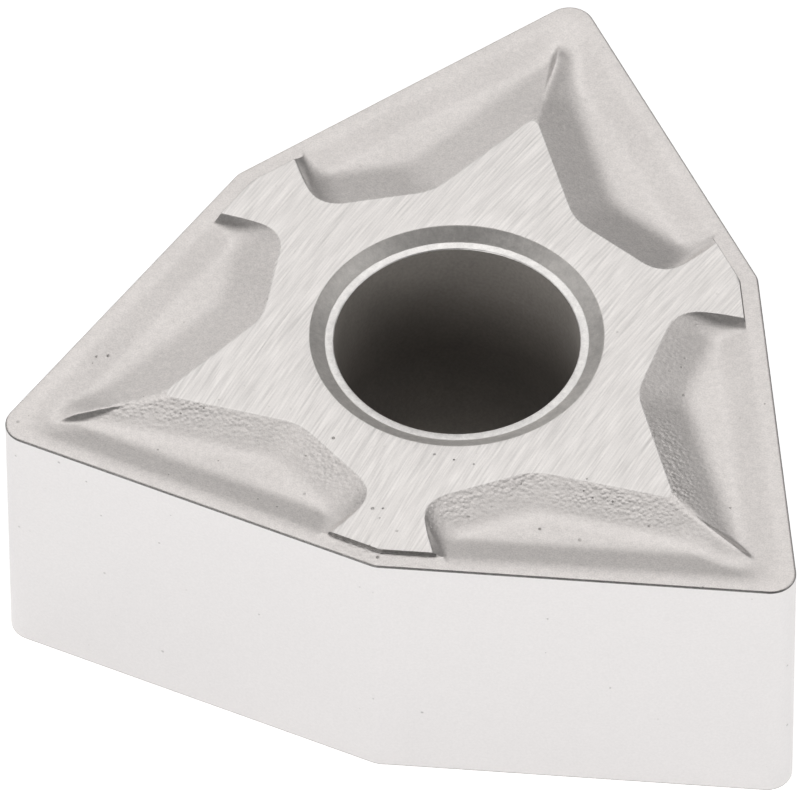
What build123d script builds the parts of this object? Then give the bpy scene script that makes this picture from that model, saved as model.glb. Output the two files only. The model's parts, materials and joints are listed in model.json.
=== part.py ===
from build123d import *
import os
from math import cos, radians, sin, tan

# Trigon turning insert of sintered carbide, in millimetres.
# The origin is on the bore axis, halfway between the two seat pads, with one nose along +Y.
# Both faces carry the same chip grooves, so the six cutting edges can all be used.

# Body
inscribed_circle = 9.525
insert_thickness = 4.76      # from a seat pad to the cutting edges of the other face
nose_count = 3
nose_angle = 80
nose_radius = 0.4
side_corner_radius = 0.4     # at the obtuse corners between two noses
edge_hone = 0.03             # rounding of the cutting edges

# Locating bore
bore_diameter = 3.81
mouth_ring_width = 0.14      # flat ring around the bore, sunk below the pad
mouth_chamfer_width = 0.23   # cone from the ring up to the pad
mouth_chamfer_angle = 30

# Seat pad, which stands proud of the cutting edges
pad_rise = 0.06
ledge_width = 0.30           # from the cutting edge to the end of a pad arm
ledge_wall_angle = 45

# Chip groove in section, from the cutting edge inwards
land_width = 0.22
groove_depth = 0.08          # below the cutting edge
rake_angle = 8.5
groove_blend_radius = 1.2    # between the rake face and the groove floor

# Chip groove in plan: "along" runs on the cutting edge, "inset" runs in from it
tip_inset = 1.73             # pad tip, on the nose bisector
apex_along = 4.26            # from the nose corner to where the pad's two back walls meet
apex_inset = 2.1
elbow_from_side = 0.59       # from the side corner back to where the pad arm begins
elbow_inset = 1.335
arm_from_side = 0.84         # from the side corner back to the corner of the pad arm
tip_radius = 0.1
apex_radius = 0.9
elbow_radius = 0.5
back_wall_run = 0.65         # how far the back walls reach out over the floor
arm_wall_run = 0.22          # how far the arm's side walls reach out over the floor
foot_radius = 0.12           # where the walls meet the floor

# Rib on the nose bisector, which splits the chip groove
rib_outset = 1.1             # from the nose corner to the rib's outer end
rib_width = 0.3              # at the floor
rib_crest_drop = 0.01        # below the cutting edge
rib_flank_angle = 55         # off the vertical
rib_crest_radius = 0.03
rib_end_angle = 30           # slope of the rib's outer end, off the floor

# How far cutting tools run past the surfaces that they cut
overrun = 0.5

# Heights above the middle plane
pad_level = (insert_thickness + pad_rise) / 2
rim_level = pad_level - pad_rise
floor_level = rim_level - groove_depth
ring_radius = bore_diameter / 2 + mouth_ring_width
mouth_radius = ring_radius + mouth_chamfer_width
mouth_level = pad_level - mouth_chamfer_width * tan(radians(mouth_chamfer_angle))

# Plan of the body
half_nose = nose_angle / 2
centre_angle = 180 / nose_count
edge_distance = inscribed_circle / 2
nose_reach = edge_distance / sin(radians(half_nose))
side_reach = edge_distance / sin(radians(centre_angle + half_nose))
edge_length = nose_reach * sin(radians(centre_angle)) / sin(radians(centre_angle + half_nose))
nose_tangent = nose_radius / tan(radians(half_nose))

# A cutting edge runs from the nose corner at +Y to the side corner on its left.
# In its frame X is along the edge, Y is in from the edge and Z is up.
along_edge = Vector(-sin(radians(half_nose)), -cos(radians(half_nose)))
in_from_edge = Vector(cos(radians(half_nose)), -sin(radians(half_nose)))
nose_corner = Vector(0, nose_reach)
edge_frame = Plane(origin=nose_corner, x_dir=along_edge, z_dir=(0, 0, 1))
section_frame = Plane(
    origin=nose_corner + along_edge * nose_tangent, x_dir=in_from_edge, z_dir=along_edge
)
nose_axis = Axis(section_frame.origin + in_from_edge * nose_radius, (0, 0, -1))


def polar(reach, angle):
    """Point at a distance from the bore axis, at an angle counted from +X."""
    return (reach * cos(radians(angle)), reach * sin(radians(angle)))


def crossing(line_a, line_b):
    """Point where two lines cross, each given by two points that it runs through."""
    span_a = line_a[1] - line_a[0]
    span_b = line_b[1] - line_b[0]
    share = (line_b[0] - line_a[0]).cross(span_b).Z / span_a.cross(span_b).Z
    return line_a[0] + span_a * share


def moved_out(start, end, distance):
    """The line from start to end, moved square to itself out of the pad and over the groove."""
    outwards = (end - start).normalized().rotate(Axis.Z, -90) * distance
    return start + outwards, end + outwards


def groove_plan(height, back_run, arm_run):
    """Plan of the groove around one nose, with its inner walls moved out from the pad's edge."""
    bisector_end = Vector(tip_inset / tan(radians(half_nose)), tip_inset)
    apex = Vector(apex_along, apex_inset)
    elbow = Vector(edge_length - elbow_from_side, elbow_inset)
    arm_end = Vector(edge_length - arm_from_side, ledge_width)
    bisector = (Vector(0, 0), bisector_end)
    long_wall = moved_out(bisector_end, apex, back_run)
    short_wall = moved_out(apex, elbow, back_run)
    arm_wall = moved_out(elbow, arm_end, arm_run)
    outer_line = (Vector(0, -overrun), Vector(edge_length, -overrun))
    tip = crossing(bisector, long_wall)
    end = crossing(arm_wall, outer_line)
    with BuildSketch(edge_frame.offset(height)) as plan:
        with BuildLine():
            FilletPolyline(
                tip,
                crossing(long_wall, short_wall),
                crossing(short_wall, arm_wall),
                end,
                radius=[apex_radius - back_run, elbow_radius - arm_run],
            )
            Polyline(end, crossing(bisector, outer_line), tip)
        make_face()
        mirror(about=Plane(origin=(0, 0, 0), x_dir=bisector_end, z_dir=bisector_end.rotate(Axis.Z, 90)))
        fillet(plan.vertices().sort_by_distance(tip)[0], tip_radius)
    return plan


# Outline of the body: three noses, with an obtuse corner between each two
with BuildSketch() as body_plan:
    with BuildLine():
        corners = []
        for index in range(nose_count):
            nose_direction = 90 + 2 * centre_angle * index
            corners.append(polar(nose_reach, nose_direction))
            corners.append(polar(side_reach, nose_direction + centre_angle))
        Polyline(*corners, close=True)
    make_face()
    fillet(body_plan.vertices().group_by(SortBy.DISTANCE)[-1], nose_radius)
    fillet(body_plan.vertices().group_by(SortBy.DISTANCE)[0], side_corner_radius)

# Space over the rake faces and the groove floor of one nose:
# straight along each edge, turned around the nose between them
with BuildPart() as groove_space:
    with BuildSketch(section_frame) as section:
        with BuildLine():
            Polyline(
                (land_width, rim_level),
                (land_width + groove_depth / tan(radians(rake_angle)), floor_level),
                (edge_distance, floor_level),
                (edge_distance, pad_level + overrun),
                (land_width, pad_level + overrun),
                close=True,
            )
        make_face()
        fillet(section.vertices().group_by(Axis.Y)[0].sort_by(Axis.X)[0], groove_blend_radius)
    extrude(amount=edge_length)
    split(bisect_by=Plane.YZ, keep=Keep.BOTTOM)
    mirror(about=Plane.YZ)
    with BuildSketch(section_frame):
        add(section.sketch_local)
        Rectangle(nose_radius, insert_thickness, align=(Align.MIN, Align.MIN), mode=Mode.INTERSECT)
    revolve(axis=nose_axis, revolution_arc=180 - nose_angle)

# What is pressed away around one nose: the space over the groove, inside the pad's walls
with BuildPart() as groove:
    pad_edge = groove_plan(pad_level, 0, 0)
    wall_foot = groove_plan(floor_level, back_wall_run, arm_wall_run)
    loft([pad_edge.sketch.face(), wall_foot.sketch.face()], ruled=True)
    extrude(pad_edge.sketch, amount=overrun)
    add(groove_space.part, mode=Mode.INTERSECT)
    floor_edges = groove.faces().filter_by(Axis.Z).sort_by(Axis.Z)[0].edges()
    blend_edges = groove.faces().filter_by(GeomType.CYLINDER).edges()
    fillet(floor_edges - blend_edges, foot_radius)

# Rib that is left standing on the bisector, from near the nose to under the pad's tip
with BuildPart() as rib:
    rib_start = Vector(0, nose_reach - rib_outset, floor_level)
    with BuildSketch(Plane(origin=rib_start, x_dir=(1, 0, 0), z_dir=(0, -1, 0))) as rib_section:
        Trapezoid(
            rib_width,
            groove_depth - rib_crest_drop,
            90 - rib_flank_angle,
            align=(Align.CENTER, Align.MIN),
        )
        fillet(rib_section.vertices().group_by(Axis.Y)[-1], rib_crest_radius)
    extrude(amount=tip_inset / sin(radians(half_nose)) - rib_outset)
    end_slope = Vector(0, sin(radians(rib_end_angle)), cos(radians(rib_end_angle)))
    split(bisect_by=Plane(origin=rib_start, x_dir=(1, 0, 0), z_dir=end_slope), keep=Keep.BOTTOM)

# Upper half of the insert; the lower half is its mirror image
with BuildPart() as trigon_insert:
    add(body_plan.sketch)
    extrude(amount=rim_level)
    fillet(trigon_insert.faces().sort_by(Axis.Z)[-1].edges(), edge_hone)
    with BuildSketch(Plane.XY.offset(rim_level)):
        offset(
            body_plan.sketch,
            amount=pad_rise / tan(radians(ledge_wall_angle)) - ledge_width,
            kind=Kind.INTERSECTION,
        )
    extrude(amount=pad_rise, taper=90 - ledge_wall_angle)
    with PolarLocations(0, nose_count):
        add(groove.part, mode=Mode.SUBTRACT)
        add(rib.part)
    with BuildSketch(Plane.XZ):
        with BuildLine():
            Polyline(
                (0, mouth_level),
                (ring_radius, mouth_level),
                (mouth_radius, pad_level),
                (mouth_radius, pad_level + overrun),
                (0, pad_level + overrun),
                close=True,
            )
        make_face()
    revolve(axis=Axis.Z, mode=Mode.SUBTRACT)
    Hole(bore_diameter / 2)
    mirror(about=Plane.XY)
trigon_insert.part.label = "trigon_insert"

os.makedirs("parts", exist_ok=True)
export_step(trigon_insert.part, "parts/trigon_insert.step")
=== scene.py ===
import json
import logging
import math
from dataclasses import dataclass, field
from enum import Enum, IntEnum

import bpy
import numpy as np
from mathutils import Matrix, Vector


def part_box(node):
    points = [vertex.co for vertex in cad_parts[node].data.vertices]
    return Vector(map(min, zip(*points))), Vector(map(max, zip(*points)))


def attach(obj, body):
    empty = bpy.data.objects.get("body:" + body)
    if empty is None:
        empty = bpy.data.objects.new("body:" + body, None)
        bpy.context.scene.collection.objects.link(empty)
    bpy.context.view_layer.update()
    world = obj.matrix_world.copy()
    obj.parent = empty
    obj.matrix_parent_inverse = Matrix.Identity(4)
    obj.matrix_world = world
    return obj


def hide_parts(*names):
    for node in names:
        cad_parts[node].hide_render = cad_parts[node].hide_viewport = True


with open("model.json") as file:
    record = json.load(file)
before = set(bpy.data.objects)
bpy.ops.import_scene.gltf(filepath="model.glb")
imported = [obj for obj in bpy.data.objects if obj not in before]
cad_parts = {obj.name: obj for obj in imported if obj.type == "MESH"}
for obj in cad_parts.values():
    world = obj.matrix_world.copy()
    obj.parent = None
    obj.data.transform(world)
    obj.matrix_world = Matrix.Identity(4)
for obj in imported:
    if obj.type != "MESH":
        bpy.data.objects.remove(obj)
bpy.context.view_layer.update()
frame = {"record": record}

# A trigon turning insert of sintered carbide, lying on a pale floor.
# Sizes are in millimetres and meshes in metres. The origin is on the bore axis, halfway
# between the two seat pads, with one nose along +Y.

log = logging.getLogger("insert")
MM = 0.001
Colour = tuple[float, float, float, float]
Socket = bpy.types.NodeSocket
Value = Socket | float | tuple[float, ...]


class Region(IntEnum):
    """Surfaces of the insert that have a finish of their own, in the order of the material slots."""

    CHIP_FACE = 0
    EDGE = 1
    MOUTH = 2
    BORE = 3
    FLANK = 4


class Side(Enum):
    """The two seat faces of the insert, by the sign of their height."""

    UPPER = 1.0
    LOWER = -1.0


def smooth_max(a: np.ndarray, b: np.ndarray, blend: np.ndarray | float) -> np.ndarray:
    """The larger of two heights, with a parabola in the corner where they are less than blend apart.

    Args:
        a, b: the heights to compare.
        blend: width of the parabola, as a difference of height.

    Returns:
        max(a, b) + blend / 4 * (1 - |a - b| / blend)^2 inside the corner, max(a, b) elsewhere.
    """
    share = np.maximum(1.0 - np.abs(a - b) / blend, 0.0)
    return np.maximum(a, b) + blend * share**2 / 4.0


def smooth_min(a: np.ndarray, b: np.ndarray, blend: np.ndarray | float) -> np.ndarray:
    """The smaller of two heights, rounded in the same way as smooth_max."""
    return -smooth_max(-a, -b, blend)


def blend_for(radius: float, slope: np.ndarray | float) -> np.ndarray | float:
    """Width of the parabola that stands for an arc of a radius between a level and a slope."""
    return radius * slope**2 / 2.0


def corner_blend(radius: np.ndarray | float, bend: float) -> np.ndarray | float:
    """Width of the parabola that rounds the corner of two distance fields like an arc.

    Args:
        radius: of the arc.
        bend: the angle, in radians, by which the walls turn at the corner.

    Returns:
        The blend that brings the corner as far in as the arc's middle.
    """
    return 4.0 * radius * (1.0 - math.cos(bend / 2.0))


def ease(value: np.ndarray, low: float, high: float) -> np.ndarray:
    """Smooth step from 0 at low to 1 at high: 3t^2 - 2t^3."""
    t = np.clip((value - low) / (high - low), 0.0, 1.0)
    return t * t * (3.0 - 2.0 * t)


def shares_between(rows: int) -> np.ndarray:
    """Even shares of the way between two rows of a grid, one for each new row."""
    return np.linspace(0.0, 1.0, rows + 2)[1:-1]


def turned(points: np.ndarray, angle: float) -> np.ndarray:
    """Points of the plane turned about the origin.

    Args:
        points: array whose last axis holds x and y.
        angle: in degrees, anticlockwise.

    Returns:
        An array of the same shape.
    """
    c, s = math.cos(math.radians(angle)), math.sin(math.radians(angle))
    return points @ np.array([[c, s], [-s, c]])


def left_of(directions: np.ndarray) -> np.ndarray:
    """Directions turned a quarter turn to the left."""
    return np.stack([-directions[..., 1], directions[..., 0]], axis=-1)


def across(a: np.ndarray, b: np.ndarray) -> np.ndarray:
    """Cross product of vectors in the plane."""
    return a[..., 0] * b[..., 1] - a[..., 1] * b[..., 0]


def direction_of(azimuth: float, elevation: float) -> Vector:
    """Unit vector from the insert at two angles in degrees: azimuth 0 is -Y and 90 is +X."""
    a, e = math.radians(azimuth), math.radians(elevation)
    return Vector((math.sin(a) * math.cos(e), -math.cos(a) * math.cos(e), math.sin(e)))


@dataclass
class RoundedPath:
    """A path in the plane: straight runs joined by tangent arcs.

    corners are the points where the runs would meet, and radii has one radius for each corner
    between the two ends.
    """

    corners: list[tuple[float, float]]
    radii: list[float]
    starts: np.ndarray = field(init=False)
    headings: np.ndarray = field(init=False)
    lengths: np.ndarray = field(init=False)
    bends: np.ndarray = field(init=False)
    marks: np.ndarray = field(init=False)

    def __post_init__(self) -> None:
        """Divides the path into spans. Each has a start, a heading, a length and a bend, 1 / radius."""
        points = np.array(self.corners, float)
        runs = np.diff(points, axis=0)
        reach = np.linalg.norm(runs, axis=1)
        along = runs / reach[:, None]
        turns = np.arctan2(across(along[:-1], along[1:]), (along[:-1] * along[1:]).sum(1))
        radii = np.array(self.radii, float)
        cut = radii * np.tan(np.abs(turns) / 2.0)
        before, after = np.r_[0.0, cut], np.r_[cut, 0.0]
        count = len(runs) + len(turns)
        self.starts, self.headings = np.zeros((count, 2)), np.zeros((count, 2))
        self.lengths, self.bends = np.zeros(count), np.zeros(count)
        self.starts[0::2] = points[:-1] + along * before[:, None]
        self.headings[0::2] = along
        self.lengths[0::2] = reach - before - after
        self.starts[1::2] = points[1:-1] - along[:-1] * cut[:, None]
        self.headings[1::2] = along[:-1]
        self.lengths[1::2] = radii * np.abs(turns)
        self.bends[1::2] = np.where(radii > 0.0, np.sign(turns) / np.maximum(radii, 1e-9), 0.0)
        self.marks = np.r_[0.0, np.cumsum(self.lengths)]

    def middle_of(self, corner: int) -> float:
        """Distance along the path to the middle of the arc at an inner corner, counted from 0."""
        return float(self.marks[2 * corner + 1] + self.lengths[2 * corner + 1] / 2.0)

    def at(self, distance: np.ndarray) -> tuple[np.ndarray, np.ndarray]:
        """Points of the path, and the headings there.

        On a span with bend k, at t from its start, with a = k t:
        point = start + heading * sin(a) / k + left * (1 - cos(a)) / k.

        Args:
            distance: distances along the path.

        Returns:
            The points and the unit headings, each with two numbers on the last axis.
        """
        span = np.clip(np.searchsorted(self.marks, distance, side="right") - 1, 0, len(self.bends) - 1)
        run = (distance - self.marks[span])[..., None]
        turn = self.bends[span][..., None] * run
        heading = self.headings[span]
        left = left_of(heading)
        forward = run * np.sinc(turn / np.pi)
        sideways = run * np.sin(turn / 2.0) * np.sinc(turn / (2.0 * np.pi))
        point = self.starts[span] + heading * forward + left * sideways
        return point, heading * np.cos(turn) + left * np.sin(turn)

    def beside(self, points: np.ndarray) -> tuple[np.ndarray, np.ndarray]:
        """How far points lie to the left of the path, whose end runs go on without end.

        Args:
            points: array whose last axis holds x and y.

        Returns:
            The distance to the nearest place of the path, positive on its left, and how far along
            the path that place is.
        """
        best = np.full(points.shape[:-1], np.inf)
        place = np.zeros(points.shape[:-1])
        last = len(self.bends) - 1
        for index, (start, heading, length, bend, mark) in enumerate(
            zip(self.starts, self.headings, self.lengths, self.bends, self.marks)
        ):
            offset = points - start
            if bend == 0.0:
                low = -np.inf if index == 0 else 0.0
                high = np.inf if index == last else length
                run = np.clip(offset @ heading, low, high)
                apart = offset - run[..., None] * heading
                signed = np.copysign(np.linalg.norm(apart, axis=-1), across(heading, offset))
            else:
                spoke = points - (start + left_of(heading) / bend)
                first = -left_of(heading) / bend
                swept = np.arctan2(across(first, spoke), spoke @ first) * np.sign(bend)
                run = swept / abs(bend)
                signed = (1.0 / abs(bend) - np.linalg.norm(spoke, axis=-1)) * np.sign(bend)
                signed = np.where((run >= 0.0) & (run <= length), signed, np.inf)
            nearer = np.abs(signed) < np.abs(best)
            best = np.where(nearer, signed, best)
            place = np.where(nearer, mark + run, place)
        return best, place


@dataclass
class ChipFace:
    """One sixth of a seat face: from the middle of a nose to the middle of the next side.

    Points are held as (u, v): u runs along the cutting edge from the sharp nose corner, and v
    runs in from the edge. Sizes are in millimetres.
    """

    pad_level: float
    bore_radius: float
    noses: int = 3
    inscribed_circle: float = 9.525
    nose_angle: float = 80.0
    nose_radius: float = 0.4
    side_corner_radius: float = 0.4
    edge_hone: float = 0.03
    pad_rise: float = 0.06
    ledge_width: float = 0.30
    ledge_wall_slope: float = 4.5
    land_width: float = 0.22
    land_corner_radius: float = 1.6
    groove_depth: float = 0.08
    rake_angle: float = 8.5
    groove_blend_radius: float = 1.2
    tip_inset: float = 1.73
    apex: tuple[float, float] = (4.26, 2.1)
    elbow_from_side: float = 0.59
    elbow_inset: float = 1.335
    arm_from_side: float = 0.84
    tip_radius: float = 0.1
    ridge_radius: float = 0.08
    apex_radius: float = 0.9
    elbow_radius: float = 0.5
    back_wall_run: float = 0.74
    arm_wall_run: float = 0.15
    back_foot_radius: float = 1.6
    arm_foot_radius: float = 0.45
    rib_crest_start: float = 1.37
    rib_height: float = 0.075
    rib_end_slope: float = 0.36
    rib_flank_slopes: tuple[float, float] = (1.35, 0.36)
    rib_crest_rounding: float = 0.03
    rib_foot_radius: float = 0.2
    mouth_ring_width: float = 0.14
    mouth_chamfer_width: float = 0.23
    mouth_chamfer_angle: float = 30.0
    mouth_edge_radius: float = 0.02
    mouth_crest_radius: float = 0.03
    grain_fades: tuple[float, float] = (0.2, 1.1)
    side_lean: float = -0.15
    row_corrections: int = 3
    groove_rows: int = 26
    groove_row_power: float = 1.2
    seat_rows: int = 4
    hone_faces: int = 4
    step_faces: int = 3

    def __post_init__(self) -> None:
        """Works out the levels and the corners of the plan from the sizes."""
        half = math.radians(self.nose_angle / 2.0)
        self.half_nose = half
        self.bisector = np.array([math.cos(half), math.sin(half)])
        self.rim_level = self.pad_level - self.pad_rise
        self.floor_level = self.rim_level - self.groove_depth
        self.wall_height = self.pad_level - self.floor_level
        self.ring_radius = self.bore_radius + self.mouth_ring_width
        self.mouth_radius = self.ring_radius + self.mouth_chamfer_width
        self.chamfer_slope = math.tan(math.radians(self.mouth_chamfer_angle))
        self.mouth_level = self.pad_level - self.mouth_chamfer_width * self.chamfer_slope
        sixth = math.pi / self.noses
        self.nose_reach = self.inscribed_circle / 2.0 / math.sin(half)
        self.edge_length = self.nose_reach * math.sin(sixth) / math.sin(sixth + half)
        self.side_turn = 2.0 * (sixth + half) - math.pi
        length, nose, side = self.edge_length, 2.0 * half, self.side_turn
        self.outline = RoundedPath(
            [
                (length * math.cos(nose), length * math.sin(nose)),
                (0.0, 0.0),
                (length, 0.0),
                (length * (1.0 + math.cos(side)), length * math.sin(side)),
            ],
            [self.nose_radius, self.side_corner_radius],
        )
        self.tip = (self.tip_inset / math.tan(half), self.tip_inset)
        self.elbow = (length - self.elbow_from_side, self.elbow_inset)
        self.arm_end = (length - self.arm_from_side, self.ledge_width)
        self.arm_lean = (self.elbow[0] - self.arm_end[0]) / (self.elbow[1] - self.arm_end[1])
        self.pad_edge = RoundedPath(
            [tuple(self.mirrored(np.array(self.apex))), self.tip, self.apex, self.elbow, self.arm_end],
            [self.tip_radius, self.apex_radius, self.elbow_radius],
        )

    def mirrored(self, points: np.ndarray) -> np.ndarray:
        """Points mirrored across the nose bisector."""
        along = (points @ self.bisector)[..., None] * self.bisector
        return 2.0 * along - points

    def to_plan(self, points: np.ndarray) -> np.ndarray:
        """Carries points of the (u, v) frame to x and y, with the nose along +Y.

        Args:
            points: in (u, v).

        Returns:
            The same points for the cutting edge on the left of that nose.
        """
        s, c = math.sin(self.half_nose), math.cos(self.half_nose)
        along, inwards = np.array([-s, -c]), np.array([c, -s])
        corner = np.array([0.0, self.nose_reach])
        return corner + points[..., :1] * along + points[..., 1:] * inwards

    def groove_height(self, points: np.ndarray) -> np.ndarray:
        """Height of land, rake face and groove floor, by the distance in from the two edges.

        The land is level out to land_width, the rake falls from there at rake_angle, and the
        floor is level again. Arcs join the three.

        Args:
            points: in (u, v).

        Returns:
            The height at each point.
        """
        round_nose = corner_blend(self.nose_radius, math.pi - 2.0 * self.half_nose)
        inset = smooth_min(points[..., 1], self.mirrored(points)[..., 1], round_nose)
        slope = math.tan(math.radians(self.rake_angle))
        rake = self.rim_level - (inset - self.land_width) * slope
        height = smooth_min(rake, self.rim_level, blend_for(self.land_corner_radius, slope))
        return smooth_max(height, self.floor_level, blend_for(self.groove_blend_radius, slope))

    def edge_drop(self, points: np.ndarray) -> np.ndarray:
        """Drop of the honed edge below the rim: a quarter circle of radius edge_hone.

        Args:
            points: in (u, v).

        Returns:
            The drop at each point, 0 further in than the hone.
        """
        inset, _ = self.outline.beside(points)
        reach = np.clip(self.edge_hone - inset, 0.0, self.edge_hone)
        return self.edge_hone - np.sqrt(self.edge_hone**2 - reach**2)

    def over_groove(self, points: np.ndarray) -> tuple[np.ndarray, np.ndarray, np.ndarray]:
        """How far points lie out of the pad over one half of the groove, and how far down its walls.

        The half is what lies in front of the long wall, the short wall and the arm's wall, so
        the distance is the smallest of three, with the corners rounded. The walls are ruled from
        the pad's edge to their foot: at the share t of the way down, the back walls have moved
        out by t * back_wall_run and the arm's wall by t * arm_wall_run, and the elbow's radius
        has shrunk by as much. The t of each point is found by halving.

        Args:
            points: in (u, v).

        Returns:
            The distance, the share t, and a weight from 0 on the back walls to 1 on the arm's.
        """
        plan = np.array([self.tip, self.apex, self.elbow, self.arm_end])
        headings = np.diff(plan, axis=0)
        headings /= np.linalg.norm(headings, axis=1)[:, None]
        long_wall, short_wall, arm = (
            -across(heading, points - start) for heading, start in zip(headings, plan)
        )
        apex_bend, elbow_bend = np.arccos((headings[:-1] * headings[1:]).sum(axis=1))
        back = smooth_min(long_wall, short_wall, corner_blend(self.apex_radius, apex_bend))

        least_radius, shares_searched, halvings = 0.05, (-5.0, 40.0), 34

        def walls(share: np.ndarray) -> tuple[np.ndarray, np.ndarray, np.ndarray]:
            """The walls as they lie further down.

            Args:
                share: of the way from the pad's edge down to the foot.

            Returns:
                The distances out of the back wall and of the arm's wall, and the elbow's blend.
            """
            radius = np.maximum(self.elbow_radius - share * self.arm_wall_run, least_radius)
            blend = corner_blend(radius, elbow_bend)
            return back - share * self.back_wall_run, arm - share * self.arm_wall_run, blend

        low, high = (np.full(back.shape, share) for share in shares_searched)
        for _ in range(halvings):
            middle = (low + high) / 2.0
            further = smooth_min(*walls(middle)) > 0.0
            low, high = np.where(further, middle, low), np.where(further, high, middle)
        from_back, from_arm, blend = walls(low)
        arm_weight = 0.5 + 0.5 * np.clip((from_back - from_arm) / blend, -1.0, 1.0)
        return smooth_min(*walls(np.zeros(back.shape))), low, arm_weight

    def outside_pad(self, points: np.ndarray) -> tuple[np.ndarray, np.ndarray, np.ndarray]:
        """How far points lie out of the pad over the whole groove, and how far down its walls.

        The two halves meet at the pad's tip, and on the ridge that runs out from it.

        Args:
            points: in (u, v).

        Returns:
            The distance, the share and the arm's weight, as over_groove gives them.
        """
        own, own_share, arm_weight = self.over_groove(points)
        other, other_share, _ = self.over_groove(self.mirrored(points))
        run = np.array(self.apex) - np.array(self.tip)
        bend = math.pi - 2.0 * (self.half_nose - math.atan2(run[1], run[0]))
        tip_blend = corner_blend(self.tip_radius, bend)
        ridge_blend = corner_blend(self.ridge_radius, bend)
        nearness = np.exp(-((np.maximum(own, 0.0) / self.tip_radius) ** 2))
        blend = ridge_blend + (tip_blend - ridge_blend) * nearness
        share = smooth_max(own_share, other_share, blend / self.back_wall_run)
        return smooth_max(own, other, blend), share, arm_weight

    def rib(self, points: np.ndarray, flank_slope: float) -> np.ndarray:
        """Height of the rib on the nose bisector, a long dome with a blunt outer end.

        With the way e beyond the outer end of the crest line, and the way b across it, the dome
        falls off as sqrt(r^2 + c^2) - c, where r^2 = (end_slope * e)^2 + (flank_slope * b)^2.

        Args:
            points: in (u, v).
            flank_slope: of the flank on this side of the crest.

        Returns:
            The height at each point.
        """
        beyond = np.minimum(points @ self.bisector - self.rib_crest_start, 0.0)
        fall = np.hypot(self.rib_end_slope * beyond, flank_slope * across(self.bisector, points))
        rounding = self.rib_crest_rounding
        return self.floor_level + self.rib_height - (np.hypot(fall, rounding) - rounding)

    def height(self, points: np.ndarray, flank_slope: float) -> np.ndarray:
        """Height of the seat face over (u, v), with the rib's flank at a slope.

        It is the highest of groove, rib and walls, no higher than the ledge and the pad. The
        ledge's wall climbs to the pad at the arm's end. The hone is taken off last.

        Args:
            points: in (u, v).
            flank_slope: of the rib's flank on this side of its crest.

        Returns:
            The height at each point.
        """
        _, share, arm_weight = self.outside_pad(points)
        back_foot = blend_for(self.back_foot_radius, self.wall_height / self.back_wall_run)
        arm_foot = blend_for(self.arm_foot_radius, self.wall_height / self.arm_wall_run)
        foot = back_foot + (arm_foot - back_foot) * arm_weight
        rib = self.rib(points, flank_slope)
        floor = smooth_max(self.groove_height(points), rib, blend_for(self.rib_foot_radius, 1.0))
        face = smooth_max(floor, self.pad_level - self.wall_height * share, foot)
        inset, _ = self.outline.beside(points)
        ledge = self.pad_level + (inset - self.ledge_width) * self.ledge_wall_slope
        ledge = np.clip(ledge, self.rim_level, self.pad_level)
        return np.minimum(face, ledge) - self.edge_drop(points)

    def grain(self, points: np.ndarray) -> np.ndarray:
        """Strength of the pressed grain: full by the pad's edge, faint on the floor."""
        _, share, _ = self.outside_pad(points)
        return 1.0 - ease(share, *self.grain_fades)

    def columns(self) -> tuple[np.ndarray, np.ndarray, np.ndarray, np.ndarray]:
        """Where the columns of the grid meet the outline and the pad's edge.

        The inner row follows the pad's edge from the tip to the middle of the elbow, and goes
        straight across the arm from there.

        Returns:
            Points on the outline, directions in from there that gain one unit of inset per unit,
            points of the inner row, and unit directions out of the pad there.
        """
        start, tip_end = self.pad_edge.middle_of(0), float(self.pad_edge.marks[2])
        elbow = self.pad_edge.middle_of(2)
        corner, _ = self.pad_edge.at(np.array([elbow]))
        half_turn = math.tan(self.side_turn / 2.0)
        end = elbow + self.edge_length - half_turn * corner[0, 1] - corner[0, 0]
        past_tip, before_elbow, side_arc = tip_end + 0.3, elbow - 0.6, end - 0.035
        arm_start, arm_corner, past_corner = elbow - 0.24, elbow - 0.02, elbow + 0.09
        by_arm = [before_elbow, arm_start, arm_corner, past_corner]
        stops = [start, tip_end, past_tip, *by_arm, side_arc, end]
        counts = [8, 8, 50, 12, 10, 10, 7, 2]
        stretches = zip(stops[:-1], stops[1:], counts)
        pieces = [np.linspace(low, high, count, endpoint=False) for low, high, count in stretches]
        along = np.concatenate([*pieces, [end]])
        row, heading = self.pad_edge.at(np.minimum(along, elbow))
        row[:, 0] += np.maximum(along - elbow, 0.0)
        for _ in range(self.row_corrections):
            gap, _, _ = self.outside_pad(row)
            row -= np.where(along < elbow, gap, 0.0)[:, None] * -left_of(heading)
        first, nose_end = self.outline.middle_of(0), float(self.outline.marks[2])
        side_start, last = float(self.outline.marks[3]), self.outline.middle_of(1)
        straight = nose_end - self.nose_radius / math.tan(self.half_nose)
        arm_mark = straight + self.arm_end[0] - self.arm_lean * self.ledge_width
        keys = [start, tip_end, before_elbow, elbow, side_arc, end]
        before_arm = arm_mark - 0.55
        places = [first, nose_end, before_arm, arm_mark, side_start, last]
        place = np.interp(along, keys, places)
        rim, rim_heading = self.outline.at(place)
        leans = [0.0, self.arm_lean, self.side_lean, 0.0]
        lean = np.interp(place, [nose_end, arm_mark, side_start, last], leans)
        inwards = left_of(rim_heading) + lean[:, None] * rim_heading
        down_arm = np.array([-self.arm_lean, -1.0])
        share = ease(along, elbow - self.elbow_radius, elbow)[:, None]
        outwards = -left_of(heading) * (1.0 - share) + down_arm * share
        outwards[-1] = -inwards[-1]
        outwards /= np.linalg.norm(outwards, axis=1)[:, None]
        return rim, inwards, row, outwards

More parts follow.
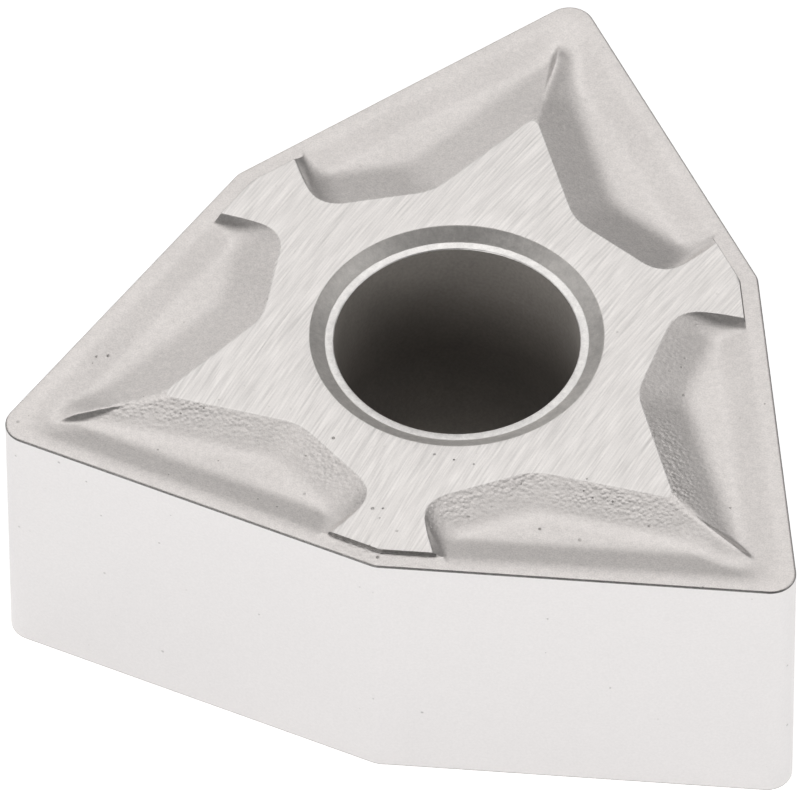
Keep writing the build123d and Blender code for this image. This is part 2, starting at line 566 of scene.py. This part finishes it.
    def edge_insets(self) -> np.ndarray:
        """Insets of the rows near the edge, from the ledge's wall over the land to the hone.

        Returns:
            The insets. Those of the wall hold its top and foot sharp.
        """
        wall_foot = self.ledge_width - self.pad_rise / self.ledge_wall_slope
        rounding, hold = 0.008, 0.0015
        wall_top = [self.ledge_width + rounding, self.ledge_width, self.ledge_width - hold]
        wall = [*wall_top, wall_foot + hold, wall_foot, wall_foot - rounding]
        land = [0.24, 0.20, 0.16, 0.12, 0.08, 0.045]
        hone = self.edge_hone * (1.0 - np.cos(np.linspace(np.pi / 2.0, 0.0, 6)))
        return np.r_[wall, land, hone]

    def mouth_radii(self) -> np.ndarray:
        """Radii of the rows around the bore: a rounded edge, then the two corners of the cone.

        Returns:
            The radii, from the bore out to the pad.
        """
        arc = self.mouth_edge_radius * (1.0 - np.cos(np.linspace(0.0, np.pi / 2.0, 4)))
        corner = np.array([-0.012, 0.0, 0.012])
        on_cone = (self.ring_radius + self.mouth_radius) / 2.0
        foot, crest = self.ring_radius + corner, self.mouth_radius + corner
        return np.r_[self.bore_radius + arc, foot, on_cone, crest]

    def grid(self) -> tuple[np.ndarray, np.ndarray, np.ndarray, np.ndarray]:
        """The grid of one sixth of the face.

        Returns:
            x and y, shape (columns, rows, 2), from the bore out to the edge; the heights with the
            rib's steep and with its gentle flank, shape (2, columns, rows); the strength of the
            pressed grain; and the region of the faces that lie after each point, both ways.
        """
        rim, inwards, pad, outwards = self.columns()
        insets, mouth_radii = self.edge_insets(), self.mouth_radii()
        near_edge = rim[:, None] + inwards[:, None] * insets[None, :, None]
        past_pad_edge = np.array([-0.03, -0.01, 0.0, 0.01, 0.03, 0.06])
        near_pad = pad[:, None] + outwards[:, None] * past_pad_edge[None, :, None]
        share = shares_between(self.groove_rows)[None, :, None] ** self.groove_row_power
        between = near_pad[:, -1:] * (1.0 - share) + near_edge[:, :1] * share
        groove = np.concatenate([near_pad, between, near_edge], axis=1)
        heights = np.stack([self.height(groove, slope) for slope in self.rib_flank_slopes])
        grain = self.grain(groove)
        groove = self.to_plan(groove)
        direction = groove[:, 0] / np.linalg.norm(groove[:, 0], axis=1)[:, None]
        mouth = direction[:, None] * mouth_radii[None, :, None]
        share = shares_between(self.seat_rows)[None, :, None]
        seat = mouth[:, -1:] * (1.0 - share) + groove[:, :1] * share
        mouth_height = np.broadcast_to(self.mouth_profile(mouth_radii), mouth.shape[:2])
        seat_height = np.full(seat.shape[:2], self.pad_level)
        points = np.concatenate([mouth, seat, groove], axis=1)
        inner = np.concatenate([mouth_height, seat_height], axis=1)
        heights = np.concatenate([np.stack([inner, inner]), heights], axis=2)
        grain = np.concatenate([0.0 * inner, grain], axis=1)
        region = np.full(grain.shape, Region.CHIP_FACE)
        region[:, : len(mouth_radii) - 1] = Region.MOUTH
        region[:, -self.hone_faces :] = Region.EDGE
        # The step walls at the arms' ends take the dark edge material: painted shade on the steps.
        step = points.shape[1] - len(insets) + 1
        on_arm = heights[0][:, step] > (self.rim_level + self.pad_level) / 2.0
        region[on_arm, step : step + self.step_faces] = Region.EDGE
        return points, heights, grain, region

    def mouth_profile(self, radius: np.ndarray) -> np.ndarray:
        """Height around the bore: a rounded edge, a flat sunk ring, a cone and the pad.

        Args:
            radius: distances from the bore axis.

        Returns:
            The height at each radius.
        """
        cone = self.mouth_level + (radius - self.ring_radius) * self.chamfer_slope
        blend = blend_for(self.mouth_crest_radius, self.chamfer_slope)
        height = smooth_min(smooth_max(cone, self.mouth_level, blend), self.pad_level, blend)
        drop = np.clip(self.bore_radius + self.mouth_edge_radius - radius, 0.0, self.mouth_edge_radius)
        arc = self.mouth_edge_radius - np.sqrt(np.maximum(self.mouth_edge_radius**2 - drop**2, 0.0))
        return height - arc


@dataclass
class InsertBody:
    """The whole insert as one closed surface: a profile carried around the bore axis.

    The profile runs over the upper face from the bore to the edge, down the flank, back over the
    lower face and up the bore wall. It has one shape in each column of the grid.
    """

    face: ChipFace
    flank_rows: int = 6
    bore_rows: int = 4

    def ring(self) -> tuple[np.ndarray, np.ndarray, np.ndarray, np.ndarray]:
        """The upper face all round: the sixth, mirrored about its nose and turned to each nose.

        Seen from outside, the rib's steep flank is on the left of its nose.

        Returns:
            x and y, the height and the grain of each point, and the region of each face.
        """
        points, (steep, gentle), grain, region = self.face.grid()
        other = (points * np.array([-1.0, 1.0]))[:0:-1]
        pair = np.concatenate([other, points[:-1]])
        height = np.concatenate([gentle[:0:-1], steep[:-1]])
        grain = np.concatenate([grain[:0:-1], grain[:-1]])
        region = np.concatenate([region[:-1][::-1], region[:-1]])
        noses = self.face.noses
        turns = [turned(pair, 360.0 / noses * index) for index in range(noses)]
        height, grain, region = (np.tile(values, (noses, 1)) for values in (height, grain, region))
        return np.concatenate(turns), height, grain, region

    def surface(self) -> tuple[np.ndarray, np.ndarray, np.ndarray]:
        """The closed grid.

        Returns:
            Points in metres, shape (columns, rows, 3), the grain and the region of each face.
        """
        plan, height, grain, region = self.ring()
        level = np.concatenate([plan, height[..., None]], axis=2)
        upper = level * np.array([1.0, 1.0, Side.UPPER.value])
        lower = level[:, ::-1] * np.array([1.0, 1.0, Side.LOWER.value])
        down = shares_between(self.flank_rows)[None, :, None]
        flank = upper[:, -1:] * (1.0 - down) + lower[:, :1] * down
        up = shares_between(self.bore_rows)[None, :, None]
        bore = lower[:, -1:] * (1.0 - up) + upper[:, :1] * up
        points = np.concatenate([upper, flank, lower, bore], axis=1) * MM
        blank = np.zeros(flank.shape[:2]), np.zeros(bore.shape[:2])
        grain = np.concatenate([grain, blank[0], grain[:, ::-1], blank[1]], axis=1)
        face, columns = region[:, :-1], len(region)
        flank_faces = np.full((columns, self.flank_rows + 1), Region.FLANK)
        bore_faces = np.full((columns, self.bore_rows + 1), Region.BORE)
        return points, grain, np.concatenate([face, flank_faces, face[:, ::-1], bore_faces], axis=1)

    def build(self, finishes: dict[Region, bpy.types.Material]) -> bpy.types.Object:
        """Makes the mesh and its object.

        Args:
            finishes: a material for each region.

        Returns:
            The insert, at the origin.
        """
        points, grain, regions = self.surface()
        columns, count, _ = points.shape
        number = np.arange(columns * count).reshape(columns, count)
        ahead = np.roll(number, -1, axis=1)
        beside = np.roll(number, -1, axis=0)
        opposite = np.roll(ahead, -1, axis=0)
        quads = np.stack([number, ahead, opposite, beside], axis=-1).reshape(-1, 4)
        mesh = bpy.data.meshes.new("trigon_insert_body")
        mesh.from_pydata(points.reshape(-1, 3), [], quads)
        for region in Region:
            mesh.materials.append(finishes[region])
        mesh.polygons.foreach_set("material_index", regions.astype(np.int32).ravel())
        mesh.shade_smooth()
        attribute = mesh.attributes.new("pressed_grain", "FLOAT", "POINT")
        attribute.data.foreach_set("value", grain.astype(np.float32).ravel())
        mesh.update()
        piece = bpy.data.objects.new("trigon_insert_body", mesh)
        bpy.context.scene.collection.objects.link(piece)
        return piece


class NodeGraph:
    """A node tree, with short ways to add and join nodes."""

    def __init__(self, tree: bpy.types.NodeTree) -> None:
        """Starts with an empty tree."""
        self.nodes, self.links = tree.nodes, tree.links
        self.nodes.clear()

    def add(self, kind: str, inputs: dict | None = None, **settings: object) -> bpy.types.Node:
        """Adds a node.

        Args:
            kind: the node's type.
            inputs: for each input, by name or number, a value or the output that feeds it.
            settings: the node's own properties.

        Returns:
            The node.
        """
        node = self.nodes.new(kind)
        for name, value in settings.items():
            setattr(node, name, value)
        for socket, value in (inputs or {}).items():
            if isinstance(value, Socket):
                self.links.new(value, node.inputs[socket])
            else:
                node.inputs[socket].default_value = value
        return node

    def maths(self, operation: str, *values: Value) -> Socket:
        """A Math node's result, for one to three values or outputs."""
        return self.add("ShaderNodeMath", dict(enumerate(values)), operation=operation).outputs[0]

    def vector(self, operation: str, *values: Value) -> bpy.types.Node:
        """A Vector Math node."""
        return self.add("ShaderNodeVectorMath", dict(enumerate(values)), operation=operation)

    def split(self, vector: Socket) -> list[Socket]:
        """The x, y and z of a vector."""
        return list(self.add("ShaderNodeSeparateXYZ", {0: vector}).outputs)

    def join(self, x: Value, y: Value, z: Value = 0.0) -> Socket:
        """A vector of three numbers."""
        return self.add("ShaderNodeCombineXYZ", {0: x, 1: y, 2: z}).outputs[0]

    def product(self, *factors: Value) -> Socket:
        """Multiplies several numbers.

        Args:
            factors: values or outputs.

        Returns:
            Their product.
        """
        result = factors[0]
        for factor in factors[1:]:
            result = self.maths("MULTIPLY", result, factor)
        return result

    def remap(self, value: Value, low: float, high: float, to_low: Value, to_high: Value) -> Socket:
        """A value from one range carried to another, and held there."""
        inputs = {0: value, 1: low, 2: high, 3: to_low, 4: to_high}
        return self.add("ShaderNodeMapRange", inputs).outputs[0]


class ShaderGraph(NodeGraph):
    """The node tree of one material."""

    def __init__(self, name: str) -> None:
        """Starts a material with only an output.

        Args:
            name: of the material.
        """
        self.material = bpy.data.materials.new(name)
        self.material.use_nodes = True
        super().__init__(self.material.node_tree)
        self.output = self.nodes.new("ShaderNodeOutputMaterial")

    def position(self) -> Socket:
        """Object coordinates, in metres."""
        return self.add("ShaderNodeTexCoord").outputs["Object"]

    def radius_from(self, centre: Value) -> tuple[Socket, Socket]:
        """The way from an upright axis to the surface.

        Args:
            centre: a point of the axis at height 0.

        Returns:
            The level vector from the axis, and its length.
        """
        flat = self.vector("MULTIPLY", self.position(), (1.0, 1.0, 0.0)).outputs[0]
        spoke = self.vector("SUBTRACT", flat, centre).outputs[0]
        return spoke, self.vector("LENGTH", spoke).outputs["Value"]

    def noise(self, where: Value, size: float, detail: float = 2.0, rough: float = 0.5) -> Socket:
        """A Noise Texture's value, from 0 to 1, with patches of a size in the unit of its vector."""
        inputs = {"Vector": where, "Scale": 1.0 / size, "Detail": detail, "Roughness": rough}
        return self.add("ShaderNodeTexNoise", inputs).outputs["Fac"]

    def vary(self, noise: Socket, by: float) -> Socket:
        """A factor about 1 that follows a noise, up to 1 - by and 1 + by."""
        return self.remap(noise, 0.3, 0.7, 1.0 - by, 1.0 + by)

    def tint(self, colour: Colour | Socket, tone: Socket) -> Socket:
        """A colour made lighter or darker by a factor."""
        plain = colour if isinstance(colour, Socket) else colour[:3]
        return self.vector("MULTIPLY", plain, self.join(tone, tone, tone)).outputs[0]

    def mix(self, share: Value, first: Value, second: Value) -> Socket:
        """A mix of two colours."""
        inputs = {0: share, 6: first, 7: second}
        return self.add("ShaderNodeMix", inputs, data_type="RGBA").outputs[2]

    def bump(
        self, height: Value, depth: float, strength: Value = 1.0, under: Socket | None = None
    ) -> Socket:
        """A Bump node's normal.

        Args:
            height: the relief, from 0 to 1.
            depth: what 1 stands for, in metres.
            strength: how much of the relief shows.
            under: the normal of the relief that this one lies on.

        Returns:
            The normal.
        """
        inputs = {"Height": height, "Distance": depth, "Strength": strength}
        if under is not None:
            inputs["Normal"] = under
        return self.add("ShaderNodeBump", inputs).outputs["Normal"]

    def pebbles(self, where: Socket, size: float) -> Socket:
        """Rounded pebbles packed side by side.

        Args:
            where: Object coordinates.
            size: of a pebble, in metres.

        Returns:
            Their relief: 1 on top of each and 0 in the gaps.
        """
        inputs = {"Vector": where, "Scale": 1.0 / size, "Smoothness": 0.4}
        cells = self.add("ShaderNodeTexVoronoi", inputs, feature="SMOOTH_F1")
        return self.remap(cells.outputs["Distance"], 0.1, 0.7, 1.0, 0.0)

    def metal(self, colour: Value, roughness: Value, normal: Socket) -> bpy.types.Material:
        """Ends the tree with bare carbide and returns the material."""
        inputs = {"Base Color": colour, "Metallic": 1.0, "Roughness": roughness, "Normal": normal}
        return self.finish(self.add("ShaderNodeBsdfPrincipled", inputs).outputs[0])

    def finish(self, shader: Socket) -> bpy.types.Material:
        """Joins the shader to the output and returns the material."""
        self.links.new(shader, self.output.inputs["Surface"])
        return self.material


@dataclass(frozen=True)
class Pores:
    """Pores of the sintered carbide, one in each of a share of the cells of a Voronoi texture.

    spacing is the size of the cells, radius that of the largest pore, and depth how far it sinks.
    """

    spacing: float
    share: float
    radius: float
    depth: float

    def mask(self, graph: ShaderGraph) -> Socket:
        """Marks the pores, each as large as its cell's chance makes it.

        Args:
            graph: of the material.

        Returns:
            A mask that is 1 in a pore and 0 elsewhere.
        """
        inputs = {"Vector": graph.position(), "Scale": 1.0 / self.spacing}
        cells = graph.add("ShaderNodeTexVoronoi", inputs).outputs
        chance = graph.add("ShaderNodeSeparateColor", {"Color": cells["Color"]}).outputs[0]
        reach = graph.remap(chance, 1.0 - self.share, 1.0, 0.0, self.radius / self.spacing)
        inside = graph.maths("DIVIDE", cells["Distance"], graph.maths("MAXIMUM", reach, 1e-4))
        return graph.remap(inside, 0.55, 1.0, 1.0, 0.0)


@dataclass(frozen=True)
class ChipFaceFinish:
    """Ground seat pads and pressed chip grooves.

    The pads are what lies at the pad's level. They carry the arcs of the lapping wheel, which
    ran round a centre far to one side. The grooves keep the skin of the press tool: a fine
    pebbled grain, strongest on the back walls, with pores. Grain and pores are coarse on the
    insert's -Y side, and fade towards +Y.
    """

    pad_level: float
    pad_colour: Colour = (0.806, 0.775, 0.752, 1.0)
    groove_colour: Colour = (0.757, 0.719, 0.696, 1.0)
    # Painted shade in the pores.
    pore_shade_colour: Colour = (0.22, 0.205, 0.19, 1.0)
    wheel_centre: tuple[float, float, float] = (34.3 * MM, -9.6 * MM, 0.0)
    wheel_radius: float = 36.0 * MM
    fine_width: float = 0.034 * MM
    fine_length: float = 0.7 * MM
    broad_width: float = 0.08 * MM
    broad_length: float = 2.0 * MM
    pebble: float = 0.068 * MM
    mottle: float = 0.085 * MM
    skin: float = 0.025 * MM
    cloud: float = 1.3 * MM
    patch: float = 1.1 * MM
    pores: Pores = Pores(0.16 * MM, 0.3, 0.032 * MM, 0.015 * MM)
    skin_depth: float = 0.005 * MM
    pebble_depth: float = 0.012 * MM
    scratch_depth: float = 0.006 * MM
    coarse_y: float = -2.5 * MM
    fine_y: float = 1.5 * MM
    pad_roughness: float = 0.36
    groove_roughness: float = 0.37

    def scratches(self, graph: ShaderGraph, width: float, length: float) -> Socket:
        """Noise drawn out along the wheel's arcs: by radius over width and by arc over length.

        Args:
            graph: of the material.
            width: of a scratch, in metres.
            length: of a scratch, in metres.

        Returns:
            The noise, from 0 to 1.
        """
        spoke, reach = graph.radius_from(self.wheel_centre)
        x, y, _ = graph.split(spoke)
        angle = graph.maths("ARCTAN2", y, graph.maths("MULTIPLY", x, -1.0))
        around = graph.maths("MULTIPLY", angle, self.wheel_radius / length)
        return graph.noise(graph.join(graph.maths("DIVIDE", reach, width), around), 1.0, 1.5)

    def ground(self, graph: ShaderGraph, where: Socket, ragged: Socket) -> Socket:
        """A mask of what the wheel ground: the pad's level, and a little of the walls below it.

        The wheel reached deeper along some scratches, so the edge of the mask is ragged.

        Args:
            graph: of the material.
            where: Object coordinates.
            ragged: the noise of the scratches.

        Returns:
            The mask, 1 where ground and 0 where pressed.
        """
        _, _, z = graph.split(where)
        depth = graph.maths("SUBTRACT", graph.maths("ABSOLUTE", z), self.pad_level)
        reach = graph.remap(ragged, 0.45, 0.7, 0.0015 * MM, 0.008 * MM)
        return graph.remap(graph.maths("ADD", depth, reach), -0.001 * MM, 0.001 * MM, 0.0, 1.0)

    def material(self) -> bpy.types.Material:
        """Builds the node tree.

        Returns:
            The material of both seat faces.
        """
        graph = ShaderGraph("carbide_chip_face")
        where = graph.position()
        fine = self.scratches(graph, self.fine_width, self.fine_length)
        broad = self.scratches(graph, self.broad_width, self.broad_length)
        ground = self.ground(graph, where, fine)
        pressed = graph.maths("SUBTRACT", 1.0, ground)
        cloud = graph.noise(where, self.cloud, 3.0)
        patch = graph.noise(where, self.patch, 1.0)
        pebble = graph.pebbles(where, self.pebble)
        mottle = graph.noise(where, self.mottle, 2.0)
        skin = graph.noise(where, self.skin, 2.0)
        _, y, _ = graph.split(where)
        coarse = graph.remap(y, self.coarse_y, self.fine_y, 1.0, 0.2)
        porous = graph.product(self.pores.mask(graph), coarse, graph.remap(patch, 0.42, 0.58, 0.1, 0.7))

        scored = graph.product(graph.vary(broad, 0.05), graph.remap(broad, 0.56, 0.7, 1.0, 0.84))
        lines = graph.product(scored, graph.vary(fine, 0.11), graph.vary(skin, 0.04))
        grains = graph.product(graph.vary(mottle, 0.05), graph.vary(skin, 0.1), graph.vary(cloud, 0.03))
        groove = graph.tint(self.groove_colour, grains)
        smooth = graph.mix(ground, groove, graph.tint(self.pad_colour, lines))
        # Pores are painted dark: painted shade in each pit.
        colour = graph.mix(porous, smooth, self.pore_shade_colour)

        strength = graph.add("ShaderNodeAttribute", attribute_name="pressed_grain").outputs["Fac"]
        patchy = graph.remap(patch, 0.4, 0.6, 0.45, 1.0)
        pebbled = graph.product(pressed, patchy, coarse, graph.remap(strength, 0.0, 1.0, 0.05, 0.32))
        normal = graph.bump(skin, self.skin_depth, graph.product(pressed, 0.25))
        normal = graph.bump(pebble, self.pebble_depth, pebbled, normal)
        normal = graph.bump(fine, self.scratch_depth, graph.product(ground, 0.5), normal)
        normal = graph.bump(porous, -self.pores.depth, 0.6, normal)
        roughness = graph.remap(ground, 0.0, 1.0, self.groove_roughness, self.pad_roughness)
        return graph.metal(colour, graph.product(graph.vary(skin, 0.06), roughness), normal)


@dataclass(frozen=True)
class EdgeAndStepShadeFinish:
    """The honed cutting edge and the step at each pad arm's end, darker than what they part. On the
    steps the dark colour is painted shade; the honed edge shares it.
    """

    # Dark colour: painted shade on the step walls, shared by the honed edge.
    colour: Colour = (0.2, 0.195, 0.19, 1.0)
    roughness: float = 0.35
    nick: float = 0.05 * MM
    nick_depth: float = 0.004 * MM

    def material(self) -> bpy.types.Material:
        """Builds the node tree.

        Returns:
            The material of the honed edges and of the steps, whose dark colour is painted shade on the
            steps.
        """
        graph = ShaderGraph("carbide_edge")
        where = graph.position()
        nicks = graph.noise(where, self.nick, 3.0)
        normal = graph.bump(nicks, self.nick_depth, 0.5)
        return graph.metal(graph.tint(self.colour, graph.vary(nicks, 0.25)), self.roughness, normal)


@dataclass(frozen=True)
class FlankFinish:
    """Fine satin flank: nearly white, with faint clouds and a few pores, painted dark as painted shade
    in each pit.
    """

    colour: Colour = (0.748, 0.728, 0.723, 1.0)
    pore_shade_colour: Colour = (0.3, 0.29, 0.29, 1.0)
    roughness: float = 0.42
    cloud: float = 1.1 * MM
    speckle: float = 0.04 * MM
    speckle_depth: float = 0.004 * MM
    pores: Pores = Pores(0.24 * MM, 0.4, 0.03 * MM, 0.02 * MM)

    def material(self) -> bpy.types.Material:
        """Builds the node tree.

        Returns:
            The material of the six flanks.
        """
        graph = ShaderGraph("carbide_flank")
        where = graph.position()
        cloud = graph.noise(where, self.cloud, 4.0)
        speckle = graph.noise(where, self.speckle, 2.0)
        pore = self.pores.mask(graph)
        tone = graph.product(graph.vary(cloud, 0.012), graph.vary(speckle, 0.022))
        # Pores painted dark: painted shade in each pit.
        colour = graph.mix(graph.product(pore, 0.45), graph.tint(self.colour, tone), self.pore_shade_colour)
        normal = graph.bump(speckle, self.speckle_depth, 0.25)
        normal = graph.bump(pore, -self.pores.depth, 0.5, normal)
        return graph.metal(colour, graph.product(graph.vary(cloud, 0.08), self.roughness), normal)


@dataclass(frozen=True)
class MouthFinish:
    """The bore's mouth: a bright sunk ring, and a darker cone with the marks of its pressing."""

    ring_radius: float
    ring_colour: Colour = (0.88, 0.855, 0.83, 1.0)
    cone_colour: Colour = (0.65, 0.624, 0.598, 1.0)
    ring_roughness: float = 0.36
    cone_roughness: float = 0.5
    mottle: float = 0.11 * MM
    mottle_depth: float = 0.012 * MM
    speckle: float = 0.03 * MM
    blotch: float = 0.45 * MM
    raggedness: float = 0.012 * MM
    softness: float = 0.008 * MM

    def material(self) -> bpy.types.Material:
        """Builds the node tree.

        Returns:
            The material of ring and cone.
        """
        graph = ShaderGraph("carbide_mouth")
        where = graph.position()
        _, radius = graph.radius_from((0.0, 0.0, 0.0))
        mottle = graph.noise(where, self.mottle, 4.0, 0.6)
        speckle = graph.noise(where, self.speckle, 2.0)
        blotch = graph.noise(where, self.blotch, 2.0)
        shift = graph.remap(mottle, 0.3, 0.7, -self.raggedness, self.raggedness)
        ragged = graph.maths("ADD", radius, shift)
        inner, outer = self.ring_radius - self.softness, self.ring_radius + self.softness
        on_cone = graph.remap(ragged, inner, outer, 0.0, 1.0)
        grains = graph.product(graph.vary(mottle, 0.1), graph.vary(speckle, 0.06))
        tone = graph.product(grains, graph.vary(blotch, 0.05))
        colour = graph.tint(graph.mix(on_cone, self.ring_colour, self.cone_colour), tone)
        normal = graph.bump(mottle, self.mottle_depth, 0.4)
        roughness = graph.remap(on_cone, 0.0, 1.0, self.ring_roughness, self.cone_roughness)
        return graph.metal(colour, graph.product(graph.vary(speckle, 0.08), roughness), normal)


@dataclass(frozen=True)
class BoreFinish:
    """The bore wall: dull, dark, brownish skin of the sinter furnace, never ground.

    Its colour is painted lighter towards both mouths and darker deep inside: painted light near the
    mouths and painted shade deep in the bore.
    """

    half_depth: float
    deep_shade_colour: Colour = (0.15, 0.132, 0.115, 1.0)
    mouth_light_colour: Colour = (0.42, 0.39, 0.36, 1.0)
    fading: float = 1.3
    roughness: float = 0.75
    skin: float = 0.05 * MM
    skin_depth: float = 0.006 * MM
    cloud: float = 0.8 * MM

    def material(self) -> bpy.types.Material:
        """Builds the node tree.

        Returns:
            The material of the bore wall.
        """
        graph = ShaderGraph("carbide_bore")
        where = graph.position()
        skin = graph.noise(where, self.skin, 3.0)
        cloud = graph.noise(where, self.cloud, 2.0)
        _, _, z = graph.split(where)
        # Painted light and shade: the colour darkens with depth into the bore and lightens towards both
        # mouths.
        depth = graph.maths("DIVIDE", graph.maths("ABSOLUTE", z), self.half_depth)
        painted_light_share = graph.maths("POWER", depth, self.fading)
        plain = graph.mix(painted_light_share, self.deep_shade_colour, self.mouth_light_colour)
        colour = graph.tint(plain, graph.product(graph.vary(skin, 0.1), graph.vary(cloud, 0.06)))
        normal = graph.bump(skin, self.skin_depth, 0.4)
        inputs = {"Base Color": colour, "Roughness": self.roughness, "Normal": normal}
        return graph.finish(graph.add("ShaderNodeBsdfPrincipled", inputs).outputs[0])


@dataclass(frozen=True)
class FloorFinish:
    """Plain pale floor. It shows white to the camera and to gloss, and keeps the insert's shadow.

    Its underside is clear, so that the insert can be looked at from below.
    """

    colour: Colour = (0.88, 0.88, 0.88, 1.0)
    lift: float = 0.69

    def material(self) -> bpy.types.Material:
        """Builds the node tree.

        Returns:
            The material of the floor.
        """
        graph = ShaderGraph("floor_white")
        path = graph.add("ShaderNodeLightPath").outputs
        seen = graph.maths("MAXIMUM", path["Is Camera Ray"], path["Is Glossy Ray"])
        seen = graph.maths("MAXIMUM", seen, path["Is Transmission Ray"])
        plain = graph.add("ShaderNodeBsdfDiffuse", {"Color": self.colour}).outputs[0]
        glow = graph.add("ShaderNodeEmission", {"Strength": graph.product(seen, self.lift)}).outputs[0]
        lit = graph.add("ShaderNodeAddShader", {0: plain, 1: glow}).outputs[0]
        clear = graph.add("ShaderNodeBsdfTransparent").outputs[0]
        back = graph.add("ShaderNodeNewGeometry").outputs["Backfacing"]
        return graph.finish(graph.add("ShaderNodeMixShader", {0: back, 1: lit, 2: clear}).outputs[0])


@dataclass(frozen=True)
class Lamp:
    """A soft area lamp that looks at the insert."""

    name: str
    azimuth: float
    elevation: float
    distance: float
    width: float
    height: float
    radiance: float

    def place(self) -> bpy.types.Object:
        """Makes the lamp. Its power is pi * area * radiance.

        Returns:
            The lamp, which the camera doesn't see.
        """
        back = direction_of(self.azimuth, self.elevation)
        data = bpy.data.lights.new(self.name, "AREA")
        data.shape = "RECTANGLE"
        data.size, data.size_y = self.width, self.height
        data.energy = math.pi * self.width * self.height * self.radiance
        lamp = bpy.data.objects.new(self.name, data)
        lamp.location = back * self.distance
        lamp.rotation_mode = "QUATERNION"
        lamp.rotation_quaternion = back.to_track_quat("Z", "Y")
        lamp.visible_camera = False
        bpy.context.scene.collection.objects.link(lamp)
        return lamp


@dataclass
class Studio:
    """Floor, light and camera. The camera stands where the photograph was taken from."""

    floor_level: float
    floor_reach: float = 1.5
    world_grey: float = 0.10
    horizon_glow: float = 0.8
    horizon_full: float = 5.0
    horizon_end: float = 17.0
    camera_azimuth: float = 15.43
    camera_elevation: float = 48.69
    camera_roll: float = -0.3
    camera_distance: float = 280.7 * MM
    aim: tuple[float, float, float] = (-1.062 * MM, 0.525 * MM, 0.0)
    lens: float = 810.0
    lamps: tuple[Lamp, ...] = (
        Lamp("lamp_key", 205.0, 54.0, 0.30, 0.18, 0.18, 0.78),
        Lamp("lamp_fill", 180.0, 54.0, 0.30, 0.18, 0.18, 0.40),
        Lamp("lamp_high", 195.0, 68.0, 0.30, 0.20, 0.10, 0.35),
        Lamp("lamp_low_back", 212.0, 24.0, 0.30, 0.12, 0.10, 0.9),
        Lamp("lamp_left", 275.0, 42.0, 0.30, 0.22, 0.22, 0.87),
        Lamp("lamp_right", 105.0, 38.0, 0.30, 0.22, 0.18, 1.25),
        Lamp("lamp_right_high", 95.0, 60.0, 0.30, 0.20, 0.18, 0.14),
        Lamp("lamp_front_low", 345.0, 26.0, 0.34, 0.20, 0.14, 2.95),
    )

    def build_floor(self) -> bpy.types.Object:
        """Lays the floor, a square plane under the insert.

        Returns:
            The floor, marked as stage.
        """
        r, z = self.floor_reach, self.floor_level
        mesh = bpy.data.meshes.new("floor")
        mesh.from_pydata([(-r, -r, z), (r, -r, z), (r, r, z), (-r, r, z)], [], [(0, 1, 2, 3)])
        mesh.materials.append(FloorFinish().material())
        floor = bpy.data.objects.new("floor", mesh)
        bpy.context.scene.collection.objects.link(floor)
        return floor

    def build_world(self) -> None:
        """A grey surround. Metal also mirrors the pale horizon, which fades out with height."""
        world = bpy.data.worlds.new("surround")
        world.use_nodes = True
        graph = NodeGraph(world.node_tree)
        _, _, rise = graph.split(graph.add("ShaderNodeTexCoord").outputs["Generated"])
        full, end = (math.sin(math.radians(angle)) for angle in (self.horizon_full, self.horizon_end))
        inputs = {0: rise, 1: full, 2: end, 3: self.horizon_glow, 4: 0.0}
        glow = graph.add("ShaderNodeMapRange", inputs, interpolation_type="SMOOTHSTEP").outputs[0]
        mirrored = graph.add("ShaderNodeLightPath").outputs["Is Glossy Ray"]
        tone = graph.maths("MULTIPLY_ADD", glow, mirrored, self.world_grey)
        light = graph.add("ShaderNodeBackground", {"Color": tone}).outputs[0]
        graph.add("ShaderNodeOutputWorld", {"Surface": light})
        bpy.context.scene.world = world

    def build_camera(self) -> bpy.types.Object:
        """Places the camera: it looks at aim from its azimuth and elevation, rolled about its axis.

        Returns:
            The camera of the scene.
        """
        back = direction_of(self.camera_azimuth, self.camera_elevation)
        data = bpy.data.cameras.new("camera")
        data.lens = self.lens
        data.clip_start, data.clip_end = 0.01, 10.0
        camera = bpy.data.objects.new("camera", data)
        facing = back.to_track_quat("Z", "Y").to_matrix().to_4x4()
        roll = Matrix.Rotation(math.radians(self.camera_roll), 4, "Z")
        place = Matrix.Translation(Vector(self.aim) + back * self.camera_distance)
        camera.matrix_world = place @ facing @ roll
        bpy.context.scene.collection.objects.link(camera)
        bpy.context.scene.camera = camera
        return camera

    def build(self) -> None:
        """Makes all of the studio."""
        self.build_camera()
        self.build_floor()
        self.build_world()
        for lamp in self.lamps:
            lamp.place()
        bpy.context.scene.view_settings.view_transform = "Standard"
        log.info("studio: %d lamps", len(self.lamps))


def main() -> None:
    logging.basicConfig(level=logging.INFO, format="%(name)s: %(message)s")
    low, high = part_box("trigon_insert")
    bore = next(mount for mount in frame["record"]["mounts"] if mount["name"] == "bore")
    Studio(floor_level=low.z).build()
    face = ChipFace(pad_level=high.z / MM, bore_radius=bore["dims"]["r_mm"])
    finishes = {
        Region.CHIP_FACE: ChipFaceFinish(high.z).material(),
        Region.EDGE: EdgeAndStepShadeFinish().material(),
        Region.MOUTH: MouthFinish(face.ring_radius * MM).material(),
        Region.BORE: BoreFinish(face.mouth_level * MM).material(),
        Region.FLANK: FlankFinish().material(),
    }
    body = InsertBody(face).build(finishes)
    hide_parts("trigon_insert")
    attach(body, "root")
    log.info("%s: %d faces", body.name, len(body.data.polygons))


if __name__ == "__main__":
    main()
